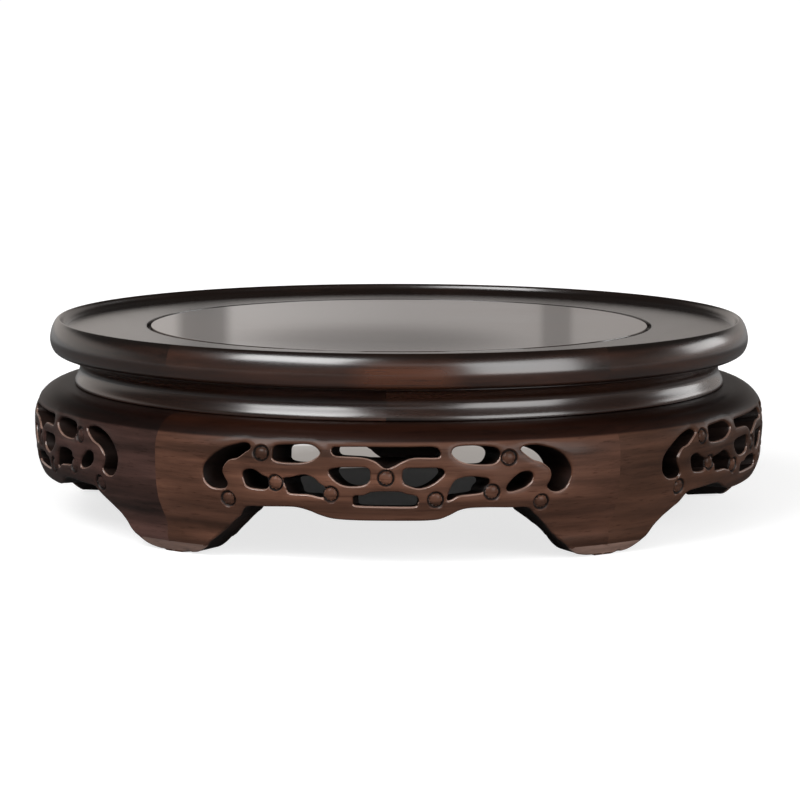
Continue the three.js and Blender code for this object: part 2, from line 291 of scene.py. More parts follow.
def sapwood(tree, local, streaks, colour):
    """A warm reddish streak across the front of the rim."""
    split = node(tree, "ShaderNodeSeparateXYZ")
    tree.links.new(local, split.inputs["Vector"])
    wander = maths(tree, "MULTIPLY", maths(tree, "SUBTRACT", streaks, 0.5), STREAK_WANDER * MM)
    x = maths(tree, "ADD", split.outputs["X"], wander)
    away = maths(tree, "ABSOLUTE", maths(tree, "SUBTRACT", x, STREAK_CENTRE * MM))
    past = maths(tree, "DIVIDE", maths(tree, "SUBTRACT", away, STREAK_HALF * MM), STREAK_SOFT * MM)
    mask = maths(tree, "SUBTRACT", 1.0, past, clamp=True)
    warm = mix(tree, streaks, (0.022, 0.0070, 0.0034), (0.100, 0.030, 0.0115))
    low, high = (z * MM for z in STREAK_HEIGHTS)
    strength = fall(tree, split.outputs["Z"], low, high, *STREAK_STRENGTH)
    return mix(tree, maths(tree, "MULTIPLY", mask, strength), colour, warm)


def shaded_lip(tree, local, streaks, colour):
    """Painted shade on the rim, darker from the lip's top inwards."""
    flat = node(tree, "ShaderNodeVectorMath", operation="MULTIPLY")
    flat.inputs[1].default_value = (1, 1, 0)
    tree.links.new(local, flat.inputs[0])
    radius = node(tree, "ShaderNodeVectorMath", operation="LENGTH")
    tree.links.new(flat.outputs["Vector"], radius.inputs[0])
    start, full = (r * MM for r in LIP_SHADE_RADII)
    mask = fall(tree, radius.outputs["Value"], start, full)
    painted_shade = mix(tree, 1.0, colour, LIP_PAINTED_SHADE, "MULTIPLY")
    return mix(tree, mask, colour, painted_shade)


def fading(axis, start, end, first, last):
    """Scales the colour along an axis, from one place to another in millimetres."""
    def patch(tree, local, streaks, colour):
        split = node(tree, "ShaderNodeSeparateXYZ")
        tree.links.new(local, split.inputs["Vector"])
        tone = node(tree, "ShaderNodeMapRange")
        tone.inputs["From Min"].default_value = start * MM
        tone.inputs["From Max"].default_value = end * MM
        tone.inputs["To Min"].default_value = first
        tone.inputs["To Max"].default_value = last
        tree.links.new(split.outputs[axis], tone.inputs["Value"])
        scaled = node(tree, "ShaderNodeVectorMath", operation="SCALE")
        tree.links.new(colour, scaled.inputs[0])
        tree.links.new(tone.outputs["Result"], scaled.inputs["Scale"])
        return scaled.outputs["Vector"]
    return patch


# The rim's sapwood streak, under the lip's painted shade
def sapwood_and_shaded_lip(tree, local, streaks, colour):
    return shaded_lip(tree, local, streaks, sapwood(tree, local, streaks, colour))


DARK = (0.006, 0.0030, 0.0022)
MID = (0.020, 0.0080, 0.0048)
LIGHT = (0.040, 0.0152, 0.0088)


# Pieces

def piece(name, points, faces, materials, replaced, indices=None):
    """A closed mesh piece, its points in millimetres."""
    mesh = bpy.data.meshes.new(name)
    mesh.from_pydata((np.asarray(points) * MM).tolist(), [], faces)
    for material in materials:
        mesh.materials.append(material)
    if indices is not None:
        mesh.polygons.foreach_set("material_index", indices)
    mesh.polygons.foreach_set("use_smooth", [True] * len(mesh.polygons))
    mesh.set_sharp_from_angle(angle=math.radians(SHARP))
    mesh.update()
    made = bpy.data.objects.new(name, mesh)
    bpy.context.scene.collection.objects.link(made)
    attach(made, "root")
    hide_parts(*replaced)
    return made


def swept(profile, middle, steps):
    """A closed profile swept through one segment round the axis: points and outward faces."""
    half = SEGMENT / 2 - SEAM / 2 / BELLY_RADIUS
    angles = np.linspace(middle - half, middle + half, steps + 1)
    count = len(profile)
    points = np.vstack([polar(profile[:, 0], a, profile[:, 1]) for a in angles])
    faces = []
    for i in range(steps):
        for j in range(count):
            k = (j + 1) % count
            faces.append((i * count + j, (i + 1) * count + j, (i + 1) * count + k, i * count + k))
    faces.append(tuple(range(count)))
    faces.append(tuple(steps * count + j for j in reversed(range(count))))
    return points, faces


def ring(name, profile, node_name, offset, materials):
    for i in range(LEGS):
        points, faces = swept(profile, offset + i * SEGMENT, SEGMENT_STEPS)
        piece(f"{name}_{i + 1}", points, faces, [materials[i]], [f"{node_name}_{i + 1}"])


# The even spacing of points along a turned profile
PROFILE_SPACING = 0.45

# Rim frame: full moulding, raised lip, soft inner slope and the groove for the panel's tongue
RIM_MOULDING = [
    (110.3, 52.4), (111.6, 52.6), (112.6, 52.95), (113.6, 53.7), (114.25, 54.8), (114.65, 56.1),
    (114.8, 57.5), (114.62, 59.0), (114.22, 60.6), (113.65, 62.0), (112.95, 63.1), (112.35, 63.65),
    (111.9, 63.82), (111.5, 63.62), (111.15, 63.0), (110.85, 62.35), (110.4, 61.75), (109.75, 61.35),
    (108.8, 61.1), (107.2, 61.0),
]
RIM_TOP_Z = 64.0


def rim_profile():
    mould = smooth_curve(RIM_MOULDING, PROFILE_SPACING)
    inner = [
        (106.8, PLATFORM_Z),
        (FRAME_INNER_RADIUS + 3 * EDGE_EASE, PLATFORM_Z),
        (FRAME_INNER_RADIUS + EDGE_EASE, PLATFORM_Z),
        (FRAME_INNER_RADIUS + EDGE_EASE * 0.3, PLATFORM_Z - EDGE_EASE * 0.3),
        (FRAME_INNER_RADIUS, PLATFORM_Z - EDGE_EASE),
        (FRAME_INNER_RADIUS, TONGUE_HIGH_Z + GAP),
        (TONGUE_RADIUS + GAP, TONGUE_HIGH_Z + GAP),
        (TONGUE_RADIUS + GAP, TONGUE_LOW_Z - GAP),
        (FRAME_INNER_RADIUS, TONGUE_LOW_Z - GAP),
        (FRAME_INNER_RADIUS, FRAME_Z),
    ]
    mould[:, 1] = np.clip(mould[:, 1], FRAME_Z, RIM_TOP_Z)
    return np.vstack([mould, inner])


# Waist: plain band with a flared foot, meeting the frame in a cove
WAIST_FACE = [
    (106.75, 42.9), (106.8, 43.4), (106.6, 44.1), (106.15, 45.0), (105.7, 45.9), (105.35, 46.8),
    (105.15, 47.7), (105.2, 48.5), (105.55, 49.4), (106.2, 50.3), (107.1, 51.1), (108.2, 51.75),
    (109.3, 52.1),
]


def waist_profile():
    face = smooth_curve(WAIST_FACE, PROFILE_SPACING)
    inner = [
        (WAIST_INNER_RADIUS, WAIST_TOP_Z),
        (WAIST_INNER_RADIUS, SPIGOT_Z),
        (SPIGOT_RADIUS, SPIGOT_Z),
        (SPIGOT_RADIUS, WAIST_FOOT_Z),
    ]
    return np.vstack([face, inner])


# Apron and leg: turned outer profile from the sole up
FOOT_PROFILE = [
    (114.3, 4.3), (114.55, 5.8), (114.4, 7.6), (114.7, 9.8), (115.7, 11.7), (116.75, 13.6),
    (117.7, 15.4), (118.4, 17.0), (119.05, 19.2), (119.55, 22.2), (119.85, 25.6), (119.97, 29.4),
    (119.97, 32.9),
]
TOE_BEVEL = [(111.6, 0.0), (111.9, 0.5), (114.0, 4.0)]

# The open arch's lower edge: distance from the apron's centre line, and height
ARCH_LEFT = [
    (-68.6, 0.0), (-64.6, 0.6), (-61.0, 2.5), (-58.6, 4.6), (-56.6, 6.4), (-54.4, 7.9), (-52.2, 9.3),
    (-50.3, 10.7), (-48.0, 12.5), (-46.3, 13.6), (-45.1, 15.2), (-44.0, 16.6), (-42.2, 17.2), (-38, 17.35),
    (-33, 17.6), (-28.5, 17.75), (-25.8, 17.5), (-22.6, 16.6), (-20.3, 15.6), (-16.6, 14.5),
    (-12.6, 14.1), (-7, 13.95), (0, 13.95),
]
ARCH_RIGHT = [
    (7, 13.95), (10.7, 13.95), (13.7, 14.05), (16.8, 14.4), (19.8, 15.6), (22.8, 17.2), (25.8, 17.85),
    (28.8, 17.95), (32, 17.9), (38.2, 17.6), (43.4, 17.5), (45.0, 16.9), (45.9, 16.0), (46.8, 15.1),
    (48.6, 13.6), (50.5, 12.0), (52.1, 10.5), (53.8, 9.0), (56.1, 7.2), (58.4, 5.2), (60.7, 3.2), (62.6, 1.8),
    (64.8, 0.8), (68.6, 0.1), (71.0, 0.0),
]

# How far the saw cut rises towards the inner wall: distance from the apron's centre line, and rise
ARCH_LEAN = [
    (-60, 0), (-57, -0.5), (-53, 0), (44, 0), (46.3, -1.3), (50.3, -0.4), (54.4, 1.0), (57, 1.5), (61, 0.6),
    (66, 0),
]

# The fret's openings on the belly: distance from the apron's centre line, and height
OPENINGS = [
    [(-34.2, 34), (-34, 36), (-32.7, 36.8), (-28.1, 37.2), (-22.3, 37.2), (-19.5, 35.1), (-20.5, 33.3),
     (-23.7, 31.8), (-29.5, 31.4), (-33.8, 32)],
    [(-44, 27.8), (-42.4, 28.8), (-40.2, 28.8), (-37.6, 27.4), (-35.7, 26.6), (-35.1, 25.5), (-35.6, 23.6),
     (-37.2, 22.9), (-42.2, 23.4), (-43.6, 25.4)],
    [(-30.9, 26.5), (-27.9, 27.2), (-24.2, 28), (-21.3, 27.1), (-19.3, 25.3), (-17.5, 24.1), (-17.8, 21.3),
     (-19.8, 21.2), (-23.1, 21.9), (-28.9, 22.1), (-29.9, 23.7)],
    [(-16.8, 29.2), (-14.8, 30.3), (-10, 30.6), (-5.2, 30.5), (-4.2, 28.9), (-4.6, 26.2), (-7.2, 25),
     (-11.6, 24.9), (-14.8, 26.4)],
    [(-15.8, 35.1), (-15.7, 36.4), (-14.5, 36.8), (-4, 37), (6, 37), (14.6, 37), (16.6, 35.8), (16.8, 34.6),
     (15.8, 33.6), (9.1, 33.6), (5.8, 32.6), (2.9, 31.1), (0.6, 30.3), (-0.8, 31), (-2.8, 32.5),
     (-6.4, 33.6), (-12, 33.9), (-14.8, 34.1)],
    [(5.4, 28.4), (6.2, 30.3), (11.2, 30.5), (16.6, 30.4), (18.1, 29.1), (17, 27.5), (14.1, 25.4),
     (10.4, 24.3), (6.6, 25.4), (5.6, 26.7)],
    [(-9.5, 20.7), (-9.1, 21.9), (-6.4, 22.1), (-3.2, 23.2), (4.1, 23.3), (6.6, 22.6), (9.4, 22),
     (10.4, 20.7), (10, 19.4), (8.8, 18.6), (0, 18.6), (-8.5, 18.8), (-9.3, 19.6)],
    [(20.2, 35), (21.5, 36.8), (25.6, 37.2), (31.5, 36.9), (34.1, 36.2), (35.1, 34.6), (34.4, 32.5),
     (32.3, 31.3), (25.9, 31.5), (22.1, 32.8)],
    [(18.8, 21), (20.8, 26.1), (23.8, 27.5), (28, 27.6), (31.4, 26.9), (31.7, 25.4), (30, 22.9),
     (25.6, 22.2), (22.2, 21.8), (20.1, 20.6)],
    [(37, 23.7), (38, 25.6), (41, 28.2), (43.7, 28.8), (45.5, 27.8), (45.1, 25.7), (42.9, 23.9),
     (39.4, 22.8), (37.6, 22.8)],
    [(-41.3, 35.6), (-43.5, 37), (-49.3, 35.4), (-53.9, 32.6), (-57, 29.7), (-57.7, 27.2), (-57.2, 24.5),
     (-55.1, 22.7), (-52.7, 22.2), (-49.9, 22.6), (-49.1, 24.3), (-50, 25.8), (-50.8, 27.7),
     (-50.2, 29.6), (-48.3, 31.4), (-45.7, 32.1), (-43.3, 33.8)],
    [(41.6, 35.6), (43.2, 36.6), (47.2, 36.7), (52.9, 34.9), (56.5, 32), (58.3, 28.3), (57.5, 24.8),
     (55.6, 22.5), (52.6, 22), (50.1, 23.7), (51, 25.4), (51.5, 27.4), (50.8, 29.3), (48.5, 31.1),
     (45.4, 32.2), (43, 34)],
]
BOSSES = [(-37.8, 34), (-33.3, 25.2), (-49.1, 19.3), (-16.2, 22.3), (0.5, 27.5), (15.4, 20.8), (37.7, 33.1),
          (32.5, 22.8), (48.4, 19.1)]

# A boss: the clear space round it, its ring groove's radius, width, depth and the half width of its painted
# shade, and its dome's radius and fall
BOSS_CLEAR = 2.55
BOSS_GROOVE = 2.25
BOSS_GROOVE_WIDTH = 0.34
BOSS_GROOVE_DEPTH = 0.85
BOSS_GROOVE_SHADE = 0.28
BOSS_DOME = 1.95
BOSS_SUNK = 0.5

# Eased edges of the openings and the arch, and the rounding of the bars between openings
HOLE_EASE = 0.5
ARCH_EASE = 0.8
STRAND_REACH = 2.2
STRAND_ROUND = 0.28
HOLE_SPACING = 0.75

# The saw cuts run inwards partly straight and partly towards the axis, and fall. Counted from 1 in the list
# of openings: the long upper slot, whose back stays above a floor, and the left end's opening, whose back
# is narrower and lies further right
SAW_STRAIGHT = 0.35
SAW_DROP = 2.2
SLOT = 5
SLOT_FLOOR = 31.2
NARROWED = 11
NARROWING = 0.8
NARROWED_SHIFT = 5.0
ARCH_SPACING = 0.9
LEAN_BELOW = 18

# The mesh of an apron's front: steps along its edges, rings of points inside the eased edges as shares of
# their width, rings round a boss, the free grid and how far it keeps off, and rows over the soles
EDGE_STEP = 1.3
TOP_POINTS = 102
SOLE_POINTS = 5
EASE_SHARES = (0.08, 0.3, 0.62, 1.0)
BOSS_RINGS = (0, 0.7, 1.3, 1.7, 1.95, 2.12, 2.25, 2.38, 2.6, 2.9)
RING_DENSITY = 13
GRID_STEP = 1.3
GRID_RISE = 1.15
GRID_CLEAR = 0.35
GRID_OFF_BOSS = 3.2
SOLE_ROWS = (0.3, 0.6)
SOLE_ROW_STEP = 1.2
LEAST_GAP = 0.13

# The mesh of the inner wall: the grid's step and how far it keeps off the edges
INNER_STEP = 4.0
INNER_CLEAR = 0.6

# Painted highlights, a lighter colour where light catches: within a distance from an opening, on edges that
# face up, and a painted sheen between two heights on the toe
HIGHLIGHT_EDGE = (0.03, 0.31)
HIGHLIGHT_FACING = 0.25
HIGHLIGHT_TOE = (0.5, 3.2)


def apron_line():
    """The turned outer profile, from the sole over the shoulder to the wall's inner edge."""
    lower = np.vstack([TOE_BEVEL, smooth_curve(FOOT_PROFILE, 0.25)])
    shoulder = arc(SHOULDER_CENTRE, SHOULDER_ROUND, 0, 90, 60)
    crown = np.array([(r, APRON_HEIGHT) for r in np.linspace(SHOULDER_CENTRE[0], WALL_RADIUS, 12)])
    line = np.vstack([lower, shoulder[1:], crown[1:]])
    return even(line, 0.2)


def push_out(outline):
    """Keeps an opening clear of the bosses beside it."""
    for centre in BOSSES:
        away = outline - np.array(centre)
        far = np.hypot(*away.T)
        near = far < BOSS_CLEAR
        outline[near] = np.array(centre) + away[near] * (BOSS_CLEAR / far[near])[:, None]
    return outline


def thinned(points, keep, least):
    """Points in order, leaving out those too near an earlier one."""
    taken = {}
    out = []
    for i, (x, y) in enumerate(points):
        cell = (int(x // least), int(y // least))
        near = []
        for dx in (-1, 0, 1):
            for dy in (-1, 0, 1):
                near += taken.get((cell[0] + dx, cell[1] + dy), [])
        if i < keep or all((x - q[0]) ** 2 + (y - q[1]) ** 2 > least * least for q in near):
            taken.setdefault(cell, []).append((x, y))
            out.append((x, y))
    return np.array(out)


def triangulate(loops, free):
    """Triangles between the outer loop, the first one, and the holes."""
    points = np.vstack([*loops, free]) if len(free) else np.vstack(loops)
    edges = []
    start = 0
    for loop in loops:
        count = len(loop)
        edges += [(start + i, start + (i + 1) % count) for i in range(count)]
        start += count
    made = delaunay_2d_cdt([Vector(p) for p in points], edges, [], 0, 1e-6)
    verts, _, faces, origins = made[0], made[1], made[2], made[3]
    order = [origin[0] if origin else -1 for origin in origins]
    assert len(verts) == len(points) and min(order) >= 0
    back = np.array(order)
    faces = back[np.array([list(f) for f in faces])]
    middle = points[faces].mean(axis=1)
    kept = inside(middle, loops[0])
    for loop in loops[1:]:
        kept &= ~inside(middle, loop)
    faces = faces[kept]
    a, b, c = (points[faces[:, k]] for k in range(3))
    turn = (b[:, 0] - a[:, 0]) * (c[:, 1] - a[:, 1]) - (b[:, 1] - a[:, 1]) * (c[:, 0] - a[:, 0])
    faces[turn < 0] = faces[turn < 0][:, ::-1]
    return points, faces


def apron_mesh():
    """One apron with half a leg at each end, centred on the front: points, faces, material of each."""
    line = apron_line()
    length = np.concatenate([[0], np.cumsum(np.hypot(*np.diff(line, axis=0).T))])
    top = length[-1]
    slope = np.gradient(line, length, axis=0)
    normal = np.column_stack([slope[:, 1], -slope[:, 0]])
    normal /= np.hypot(*normal.T)[:, None]
    rising = np.searchsorted(line[:, 1], APRON_HEIGHT - 1e-6)

    def along(z):
        return np.interp(z, line[:rising + 1, 1], length[:rising + 1])

    half = BELLY_RADIUS * SEGMENT / 2 - SEAM / 2
    arch = smooth_curve(ARCH_LEFT + ARCH_RIGHT, ARCH_SPACING)
    arch[:, 1] = np.clip(arch[:, 1], 0, None)
    arch = np.column_stack([arch[:, 0], along(arch[:, 1])])
    holes = []
    for corners in OPENINGS:
        outline = push_out(smooth_curve(corners, HOLE_SPACING / 2, closed=True))
        outline = even(np.vstack([outline, outline[:1]]), HOLE_SPACING, closed=True)
        holes.append(np.column_stack([outline[:, 0], along(outline[:, 1])]))
    bosses = [(s, float(along(z))) for s, z in BOSSES]

    side = np.concatenate([np.arange(0, top, EDGE_STEP)[:-1], [top]])
    across = np.linspace(-half, half, TOP_POINTS)
    sole = np.linspace(arch[-1, 0], half, SOLE_POINTS)[1:-1]
    outer = np.vstack([
        arch,
        [(s, 0) for s in sole],
        [(half, t) for t in side],
        [(s, top) for s in across[::-1][1:-1]],
        [(-half, t) for t in side[::-1]],
        [(-s, 0) for s in sole[::-1]],
    ])

    def near_holes(points):
        return np.min([distance(points, hole, True) for hole in holes], axis=0)

    def near_arch(points):
        return distance(points, arch, False)

    free = []
    for lines, ease, closed in ((holes, HOLE_EASE, True), ([arch], ARCH_EASE, False)):
        for share in EASE_SHARES:
            for outline in lines:
                step = np.roll(outline, -1, axis=0) - np.roll(outline, 1, axis=0)
                out = np.column_stack([step[:, 1], -step[:, 0]]) / np.hypot(*step.T)[:, None]
                if not closed:
                    outline, out = outline[1:-1], -out[1:-1]
                ring_points = outline + out * ease * share
                if closed and inside(ring_points, outline).mean() > 0.5:
                    ring_points = outline - out * ease * share
                free.append(ring_points[np.minimum(near_holes(ring_points), near_arch(ring_points))
                                        > 0.9 * ease * share])
    for s, t in bosses:
        for radius in BOSS_RINGS:
            count = max(1, round(radius * RING_DENSITY))
            angles = np.linspace(0, 2 * math.pi, count, endpoint=False)
            circle = np.column_stack([s + radius * np.cos(angles), t + radius * np.sin(angles)])
            free.append(circle[near_holes(circle) > 0.12])
    grid = np.array([(s, t) for t in np.arange(0.65, top - 0.5, GRID_RISE)
                     for s in np.arange(-half + 0.7, half - 0.6, GRID_STEP)])
    clear = np.minimum(near_holes(grid) - HOLE_EASE, near_arch(grid) - ARCH_EASE) > GRID_CLEAR
    for centre in bosses:
        clear &= np.hypot(*(grid - centre).T) > GRID_OFF_BOSS
    rows = np.array([(s, t) for t in SOLE_ROWS for s in np.arange(arch[-1, 0], half, SOLE_ROW_STEP)])
    free = np.vstack([*free, grid[clear], rows, rows * (-1, 1)])
    loops = [outer, *holes]
    bound = inside(free, outer)
    for hole in holes:
        bound &= ~inside(free, hole)
    edge_gap = distance(free, outer, True)
    free = free[bound & (edge_gap > 0.05)]
    fixed = sum(map(len, loops))
    every = thinned(np.vstack([*loops, free]), fixed, LEAST_GAP)
    points, faces = triangulate(loops, every[fixed:])

    # Heights above the turned surface
    from_holes, from_arch = near_holes(points), near_arch(points)

    def eased(gap, ease):
        back = np.clip(ease - gap, 0, ease)
        return ease - np.sqrt(ease ** 2 - back ** 2)

    sink = np.maximum(eased(from_holes, HOLE_EASE), eased(from_arch, ARCH_EASE))
    sink += STRAND_ROUND * np.clip(1 - from_holes / STRAND_REACH, 0, 1) ** 2
    for centre in bosses:
        away = np.hypot(*(points - centre).T)
        sink += BOSS_GROOVE_DEPTH * np.exp(-((away - BOSS_GROOVE) / BOSS_GROOVE_WIDTH) ** 2)
        sink += BOSS_SUNK * np.clip((away / BOSS_DOME) ** 2, 0, 1) * (away < BOSS_DOME)
    base = np.column_stack([np.interp(points[:, 1], length, line[:, k]) for k in (0, 1)])
    push = np.column_stack([np.interp(points[:, 1], length, normal[:, k]) for k in (0, 1)])
    base -= push * sink[:, None]
    base[:, 1] = np.clip(base[:, 1], 0, APRON_HEIGHT)
    angle = points[:, 0] / BELLY_RADIUS
    front = polar(base[:, 0], angle, base[:, 1])

    # Inner wall, sharing the ends of the saw cuts. A seam's end face has only its two corners there
    starts = np.cumsum([0, *map(len, loops)])
    corner = len(arch) + len(sole)
    seams = [range(corner + 1, corner + len(side) - 1)]
    other = corner + len(side) + len(across) - 2
    seams.append(range(other + 1, other + len(side) - 1))
    inner_ids = [[i for i in range(len(outer)) if i not in seams[0] and i not in seams[1]]]
    inner_ids += [list(range(starts[n], starts[n + 1])) for n in range(1, len(loops))]
    inner_loops = []
    for n, ids in enumerate(inner_ids):
        turn = angle[ids]
        if n:
            middle = (turn.min() + turn.max()) / 2
            straight = middle + np.arcsin(base[ids, 0] * np.sin(turn - middle) / WALL_RADIUS)
            turn = turn + SAW_STRAIGHT * (straight - turn)
        back = np.column_stack([turn * BELLY_RADIUS, base[ids, 1] - (SAW_DROP if n else 0)])
        if n == 0:
            lean = np.interp(back[:, 0], *zip(*ARCH_LEAN))
            back[:, 1] += np.where(back[:, 1] < LEAN_BELOW, np.maximum(lean, -back[:, 1]), 0)
        if n == SLOT:
            back[:, 1] = np.maximum(back[:, 1], SLOT_FLOOR)
        if n == NARROWED:
            back = back.mean(axis=0) + NARROWING * (back - back.mean(axis=0)) + (NARROWED_SHIFT, 0)
        inner_loops.append(back)
    inner_grid = np.array([(s, z) for z in np.arange(3, APRON_HEIGHT - 1, INNER_STEP)
                           for s in np.arange(-half + 2, half - 1, INNER_STEP)])
    keep = inside(inner_grid, inner_loops[0]) & (distance(inner_grid, inner_loops[0], True) > INNER_CLEAR)
    for loop in inner_loops[1:]:
        keep &= ~inside(inner_grid, loop) & (distance(inner_grid, loop, True) > INNER_CLEAR)
    flat, inner_faces = triangulate(inner_loops, inner_grid[keep])
    inner = polar(np.full(len(flat), WALL_RADIUS), flat[:, 0] / BELLY_RADIUS, flat[:, 1])

    # Walls between the front and the inner wall
    shift = len(front)
    walls = []
    behind = 0
    for n, ids in enumerate(inner_ids):
        loop = loops[n]
        area = (loop[:, 0] * np.roll(loop[:, 1], -1) - np.roll(loop[:, 0], -1) * loop[:, 1]).sum()
        for k, a in enumerate(ids):
            m = (k + 1) % len(ids)
            b = ids[m]
            between = list(range(b - 1, a, -1)) if b > a else []
            wall = [a, shift + behind + k, shift + behind + m, b, *between]
            walls.append(wall if (area > 0) == (n == 0) else wall[::-1])
        behind += len(ids)
    # The boss grooves get the sawn wood's painted shade
    middles = points[faces].mean(axis=1)
    ringed = np.zeros(len(faces), bool)
    for centre in bosses:
        away = np.hypot(*(middles - centre).T)
        ringed |= np.abs(away - BOSS_GROOVE) < BOSS_GROOVE_SHADE
    gaps = near_holes(middles)
    corners = front[faces]
    heights = corners[:, :, 2].mean(axis=1)
    # Painted highlights on the up-facing edges near the openings and on the toe
    facing = np.cross(corners[:, 1] - corners[:, 0], corners[:, 2] - corners[:, 0])
    upward = facing[:, 2] > HIGHLIGHT_FACING * np.linalg.norm(facing, axis=1)
    highlighted = (gaps > HIGHLIGHT_EDGE[0]) & (gaps < HIGHLIGHT_EDGE[1]) & upward
    highlighted |= (heights > HIGHLIGHT_TOE[0]) & (heights < HIGHLIGHT_TOE[1])
    highlighted &= ~ringed
    grooves = [list(f) for f in faces[ringed]]
    edges = [list(f) for f in faces[highlighted]]
    faces = [list(f) for f in faces[~ringed & ~highlighted]]
    inner_faces = [[v + shift for v in f[::-1]] for f in inner_faces]
    return welded(np.vstack([front, inner]), [faces, grooves + inner_faces + walls, edges])


def welded(points, groups):
    """Joins points at the same place and drops the faces that close up: points, faces, group of each."""
    cells, first, where = np.unique(np.round(points / WELD).astype(int), axis=0, return_index=True,
                                    return_inverse=True)
    where = where.ravel()
    faces, kinds = [], []
    for kind, group in enumerate(groups):
        for face in group:
            ids = [int(where[v]) for v in face]
            ids = [v for k, v in enumerate(ids) if v != ids[k - 1]]
            if len(set(ids)) > 2:
                faces.append(tuple(ids))
                kinds.append(kind)
    return points[first], faces, kinds


def turned_points(points, angle):
    c, s = math.cos(angle), math.sin(angle)
    return points @ np.array([[c, s, 0], [-s, c, 0], [0, 0, 1]])


# Wood for each segment, cut from different boards
# The front apron's ramp along x is painted light, lighter on its left side and darker on its right. The fifth
# apron's ramp along z makes its foot lighter towards the bottom
APRON_FADES = {0: fading("X", -65, 65, 1.22, 0.84), 4: fading("Z", 5, 15, 1.5, 1.0)}
# Every apron gets the painted shade on its shoulder
apron_woods = [
    wood(f"apron_wood_{i + 1}", tone[0], tone[1], tone[2], 1 + i, i * SEGMENT, roughness=0.42, coat=0.12,
         coat_roughness=0.16, patch=APRON_FADES.get(i), shaded_above=SHOULDER_SHADE_Z, specular=0.12)
    for i, tone in enumerate([
        ((0.033, 0.0150, 0.0094), (0.070, 0.0312, 0.0196), (0.120, 0.0535, 0.0335)),
        ((0.026, 0.0120, 0.0074), (0.053, 0.0240, 0.0145), (0.090, 0.0405, 0.0250)),
        ((0.026, 0.0110, 0.0068), (0.070, 0.0290, 0.0175), (0.130, 0.0540, 0.0330)),
        ((0.022, 0.0095, 0.0060), (0.060, 0.0250, 0.0155), (0.115, 0.0480, 0.0300)),
        ((0.016, 0.0082, 0.0066), (0.038, 0.0190, 0.0155), (0.070, 0.0350, 0.0290)),
    ])
]
# Painted highlights: a lighter wood for the up-facing opening edges and the toe's bevel
highlight_wood = wood("painted_highlights", (0.10, 0.057, 0.043), (0.20, 0.122, 0.095), (0.30, 0.19, 0.15), 8,
                 roughness=0.35, coat=0.5, coat_roughness=0.15)
# Sawn wood on the saw cuts and the inner wall, darker than the finish and painted near black as shade there
# and in the boss grooves
sawn_and_shaded_wood = wood("sawn_shaded_wood", (0.003, 0.0014, 0.0010), (0.008, 0.0035, 0.0024), (0.016, 0.0070, 0.0048), 9,
                roughness=0.55, coat=0.05, coat_roughness=0.3, specular=0.3)
waist_woods = [
    wood(f"waist_wood_{i + 1}", DARK, MID, LIGHT, 20 + i, (i + 0.5) * SEGMENT, roughness=0.25, coat=0.8,
         coat_roughness=0.18, bump=0.06)
    for i in range(LEGS)
]
# Every rim gets the lip's painted shade, and the front one the sapwood streak as well
rim_woods = [
    wood(f"rim_wood_{i + 1}", DARK, MID, LIGHT, 30 + i, i * SEGMENT, roughness=0.24, coat=0.8,
         coat_roughness=0.18, bump=0.05, patch=sapwood_and_shaded_lip if i == 0 else shaded_lip)
    for i in range(LEGS)
]
panel_wood = wood("panel_wood", DARK, MID, LIGHT, 41, 0.0, roughness=0.15, coat=0.9, coat_roughness=0.03,
                  bump=0.02)
inner_wood = wood("inner_wood", (0.10, 0.05, 0.028), (0.17, 0.095, 0.055), (0.26, 0.155, 0.09), 50,
                  math.pi / 2, roughness=0.6, coat=0.0)

# Aprons
points, faces, indices = apron_mesh()
for i in range(LEGS):
    woods = [apron_woods[i], sawn_and_shaded_wood, highlight_wood]
    piece(f"fret_apron_{i + 1}", turned_points(points, i * SEGMENT), faces, woods,
          [f"apron_leg_block_{i + 1}"], indices)

# Waist and rim
ring("turned_waist", waist_profile(), "waist_segment", SEGMENT / 2, waist_woods)
ring("moulded_rim", rim_profile(), "rim_segment", 0.0, rim_woods)


# Panel with its tongue and the dovetailed groove for the batten's key

def panel_mesh():
    steps = PANEL_STEPS
    side = [
        (TONGUE_LOW_Z, PANEL_RADIUS), (TONGUE_LOW_Z, TONGUE_RADIUS), (TONGUE_HIGH_Z, TONGUE_RADIUS),
        (TONGUE_HIGH_Z, PANEL_RADIUS), (PLATFORM_Z - EDGE_EASE, PANEL_RADIUS),
        (PLATFORM_Z - 0.3 * EDGE_EASE, PANEL_RADIUS - 0.3 * EDGE_EASE),
        (PLATFORM_Z, PANEL_RADIUS - EDGE_EASE), (PLATFORM_Z, PANEL_RADIUS - 3 * EDGE_EASE),
        (PLATFORM_Z, PANEL_RADIUS - 4.0),
    ]
    angles = np.linspace(0, 2 * math.pi, steps, endpoint=False)
    rings = [polar(np.full(steps, PANEL_RADIUS), angles, np.full(steps, PANEL_Z))]
    rings += [polar(np.full(steps, r), angles, np.full(steps, z)) for z, r in side]
    points = np.vstack(rings)
    faces = []
    for k in range(len(rings) - 1):
        for j in range(steps):
            n = (j + 1) % steps
            faces.append((k * steps + j, k * steps + n, (k + 1) * steps + n, (k + 1) * steps + j))
    faces.append(tuple(reversed(range(steps))))
    last = (len(rings) - 1) * steps
    faces.append(tuple(last + j for j in range(steps)))
    return points, faces


points, faces = panel_mesh()
panel = piece("polished_panel", points, faces, [panel_wood], ["centre_panel"])

